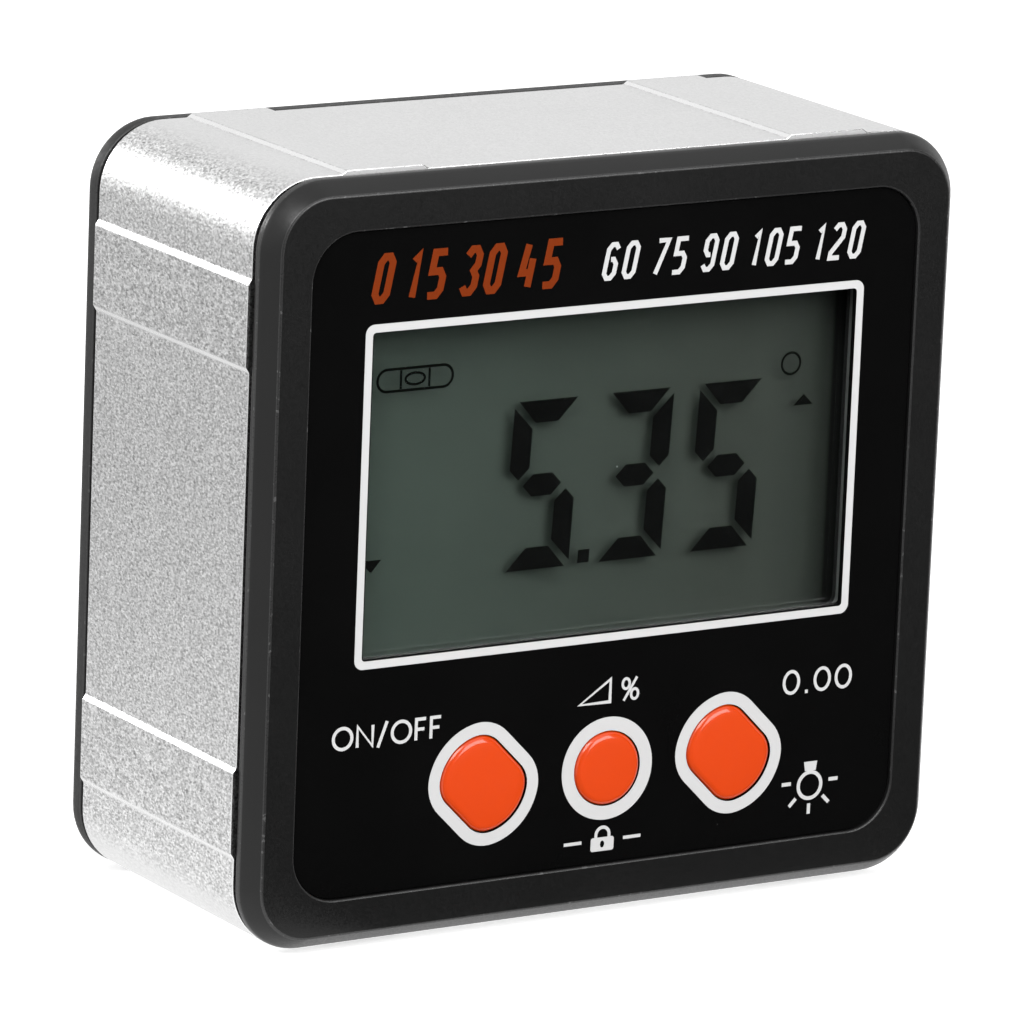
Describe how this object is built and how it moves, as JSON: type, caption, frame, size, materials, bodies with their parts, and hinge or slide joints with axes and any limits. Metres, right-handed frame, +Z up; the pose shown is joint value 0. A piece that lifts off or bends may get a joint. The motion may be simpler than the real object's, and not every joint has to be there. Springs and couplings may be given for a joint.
{
  "type": "digital inclinometer",
  "caption": "Square digital angle gauge: ribbed aluminium ring housing, black bezel with display and push buttons, rear battery door.",
  "frame": {"origin": "under the middle of the case, in the plane of the base ribs", "axes": "+X right as seen from the front, +Y from the display to the battery door, +Z up"},
  "size_m": [0.0626, 0.0284, 0.06],
  "materials": {
    "anodised_aluminium": "bead-blasted clear anodised",
    "magnet_nickel": "nickel plated",
    "black_case": "fine satin black",
    "overlay_print": "gloss black print under a clear hard coat",
    "clear_window": "clear polished acrylic",
    "display_cell": "grey green liquid crystal cell",
    "diffuser_white": "translucent white",
    "holder_black": "matt black",
    "connector_rubber": "layered silicone rubber",
    "board_green": "solder mask over glass fibre board",
    "screw_steel": "zinc plated",
    "chip_black": "moulded epoxy",
    "crystal_can": "drawn tin plated can",
    "capacitor_tan": "fired ceramic",
    "switch_case": "moulded nylon",
    "plunger_white": "moulded acetal",
    "button_orange": "gloss orange",
    "cell_jacket": "printed shrink jacket",
    "contact_nickel": "nickel plated spring steel"
  },
  "bodies": {
    "case": {"housing_frame": "anodised_aluminium", "base_magnets": "magnet_nickel", "front_bezel": "black_case", "rear_cover": "black_case", "front_overlay": "overlay_print", "display_window": "clear_window", "display_glass": "display_cell", "display_backlight": "diffuser_white", "display_holder": "holder_black", "zebra_strips": "connector_rubber", "circuit_board": "board_green", "board_screws": "screw_steel", "case_screws": "screw_steel", "controller_chip": "chip_black", "tilt_sensor_chip": "chip_black", "crystal": "crystal_can", "chip_capacitors": "capacitor_tan", "switch_bodies": "switch_case", "battery_upper": "cell_jacket", "battery_lower": "cell_jacket", "bridge_contact": "contact_nickel", "positive_terminal": "contact_nickel", "negative_terminal": "contact_nickel"},
    "power_key": {"power_button": "button_orange", "power_switch_plunger": "plunger_white"},
    "hold_key": {"hold_button": "button_orange", "hold_switch_plunger": "plunger_white"},
    "zero_key": {"zero_button": "button_orange", "zero_switch_plunger": "plunger_white"},
    "door": {"battery_door": "black_case"}
  },
  "joints": [
    {"name": "power_press", "type": "slide", "parent": "case", "child": "power_key", "axis": [0, 1, 0], "range_m": [0, 0.00025], "stiffness_N_per_m": 2000},
    {"name": "hold_press", "type": "slide", "parent": "case", "child": "hold_key", "axis": [0, 1, 0], "range_m": [0, 0.00025], "stiffness_N_per_m": 2000},
    {"name": "zero_press", "type": "slide", "parent": "case", "child": "zero_key", "axis": [0, 1, 0], "range_m": [0, 0.00025], "stiffness_N_per_m": 2000},
    {"name": "battery_door_slide", "type": "slide", "parent": "case", "child": "door", "axis": [1, 0, 0], "range_m": [0, 0.003]}
  ]
}
